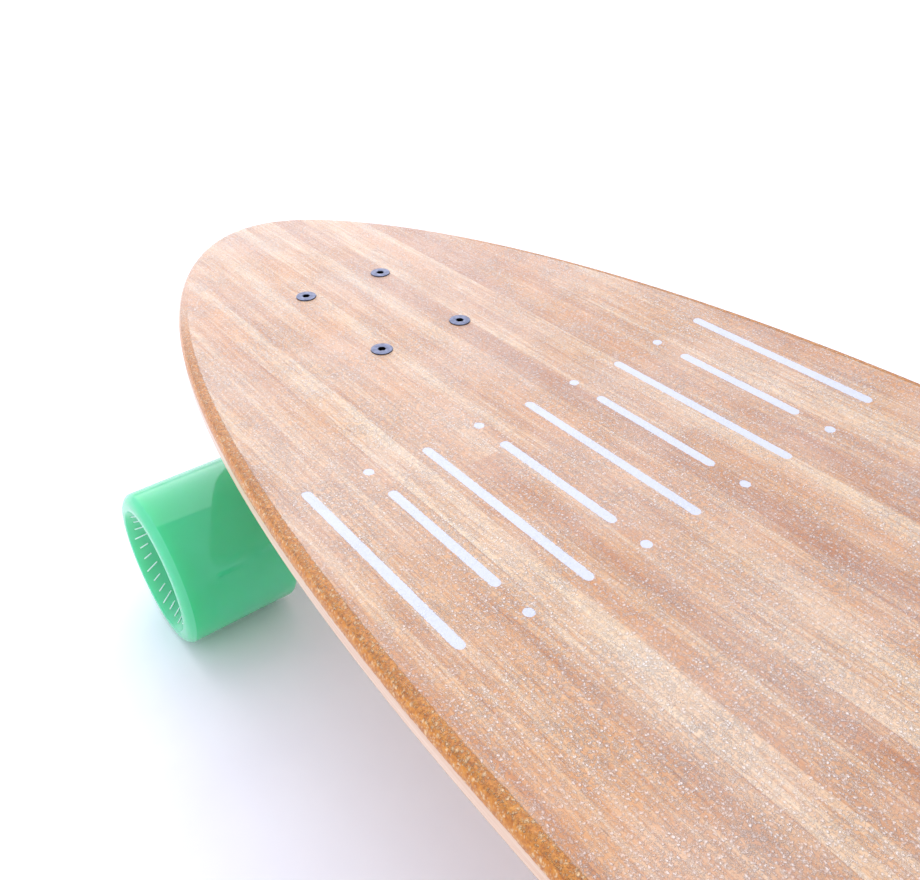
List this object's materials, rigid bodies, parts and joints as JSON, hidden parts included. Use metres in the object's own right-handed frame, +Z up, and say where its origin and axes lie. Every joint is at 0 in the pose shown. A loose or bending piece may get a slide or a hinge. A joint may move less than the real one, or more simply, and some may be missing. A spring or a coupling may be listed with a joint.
{
  "type": "skateboard",
  "caption": "Wide flat cruising skateboard: concave bamboo deck with rounded nose, lean-to-steer reverse-kingpin trucks, large soft see-through wheels on ball bearings.",
  "frame": {"origin": "on the floor under the middle of the board, midway between nose tip and tail tip", "axes": "+X along the board from nose to tail, +Y across it, +Z up from the wheels to the deck"},
  "size_m": [0.915, 0.255, 0.1295],
  "materials": {
    "face_bamboo": "clear-coated bamboo strips with a clear grit layer",
    "core_bamboo": "sanded edge",
    "bottom_bamboo": "satin clear coat",
    "riser": "matt moulded",
    "bolt_steel": "zinc plated",
    "nut_steel": "zinc plated",
    "cast_alloy": "tumbled casting",
    "cup_plastic": "moulded",
    "kingpin_steel": "machined",
    "bushing_urethane": "satin cast urethane",
    "axle_steel": "ground",
    "bearing_steel": "polished",
    "shield_steel": "satin",
    "wheel_urethane": "gloss cast urethane, slightly see-through",
    "core_plastic": "moulded"
  },
  "bodies": {
    "board": {"deck_top_sheet": "face_bamboo", "deck_core": "core_bamboo", "deck_bottom_sheet": "bottom_bamboo", "front_riser_pad": "riser", "front_mounting_bolts": "bolt_steel", "front_lock_nuts": "nut_steel", "front_baseplate": "cast_alloy", "front_pivot_cup": "cup_plastic", "front_kingpin": "kingpin_steel", "front_kingpin_nut": "nut_steel", "front_bushing_washers": "nut_steel", "front_boardside_bushing": "bushing_urethane", "front_roadside_bushing": "bushing_urethane", "rear_riser_pad": "riser", "rear_mounting_bolts": "bolt_steel", "rear_lock_nuts": "nut_steel", "rear_baseplate": "cast_alloy", "rear_pivot_cup": "cup_plastic", "rear_kingpin": "kingpin_steel", "rear_kingpin_nut": "nut_steel", "rear_bushing_washers": "nut_steel", "rear_boardside_bushing": "bushing_urethane", "rear_roadside_bushing": "bushing_urethane"},
    "front_hanger_set": {"front_hanger": "cast_alloy", "front_axle": "axle_steel", "front_axle_nuts": "nut_steel", "front_speed_washers": "nut_steel", "front_bearing_inner_rings": "bearing_steel", "front_bearing_spacers": "axle_steel"},
    "front_left_wheel_set": {"front_left_wheel": "wheel_urethane", "front_left_wheel_core": "core_plastic", "front_left_bearing_outer_rings": "bearing_steel", "front_left_bearing_balls": "bearing_steel", "front_left_bearing_shields": "shield_steel"},
    "front_right_wheel_set": {"front_right_wheel": "wheel_urethane", "front_right_wheel_core": "core_plastic", "front_right_bearing_outer_rings": "bearing_steel", "front_right_bearing_balls": "bearing_steel", "front_right_bearing_shields": "shield_steel"},
    "rear_hanger_set": {"rear_hanger": "cast_alloy", "rear_axle": "axle_steel", "rear_axle_nuts": "nut_steel", "rear_speed_washers": "nut_steel", "rear_bearing_inner_rings": "bearing_steel", "rear_bearing_spacers": "axle_steel"},
    "rear_left_wheel_set": {"rear_left_wheel": "wheel_urethane", "rear_left_wheel_core": "core_plastic", "rear_left_bearing_outer_rings": "bearing_steel", "rear_left_bearing_balls": "bearing_steel", "rear_left_bearing_shields": "shield_steel"},
    "rear_right_wheel_set": {"rear_right_wheel": "wheel_urethane", "rear_right_wheel_core": "core_plastic", "rear_right_bearing_outer_rings": "bearing_steel", "rear_right_bearing_balls": "bearing_steel", "rear_right_bearing_shields": "shield_steel"}
  },
  "joints": [
    {"name": "front_steer", "type": "hinge", "parent": "board", "child": "front_hanger_set", "pos_m": [-0.31884, 0, 0.04116], "axis": [-0.7071, 0, 0.7071], "range_deg": [-18, 18], "stiffness_Nm_per_rad": 60, "deforming": ["front_boardside_bushing", "front_roadside_bushing"]},
    {"name": "front_left_wheel_spin", "type": "hinge", "parent": "front_hanger_set", "child": "front_left_wheel_set", "pos_m": [-0.3245, 0, 0.0355], "axis": [0, 1, 0], "continuous": true},
    {"name": "front_right_wheel_spin", "type": "hinge", "parent": "front_hanger_set", "child": "front_right_wheel_set", "pos_m": [-0.3245, 0, 0.0355], "axis": [0, 1, 0], "continuous": true},
    {"name": "rear_steer", "type": "hinge", "parent": "board", "child": "rear_hanger_set", "pos_m": [0.30384, 0, 0.04116], "axis": [0.7071, 0, 0.7071], "range_deg": [-18, 18], "stiffness_Nm_per_rad": 60, "deforming": ["rear_boardside_bushing", "rear_roadside_bushing"]},
    {"name": "rear_left_wheel_spin", "type": "hinge", "parent": "rear_hanger_set", "child": "rear_left_wheel_set", "pos_m": [0.3095, 0, 0.0355], "axis": [0, 1, 0], "continuous": true},
    {"name": "rear_right_wheel_spin", "type": "hinge", "parent": "rear_hanger_set", "child": "rear_right_wheel_set", "pos_m": [0.3095, 0, 0.0355], "axis": [0, 1, 0], "continuous": true}
  ]
}
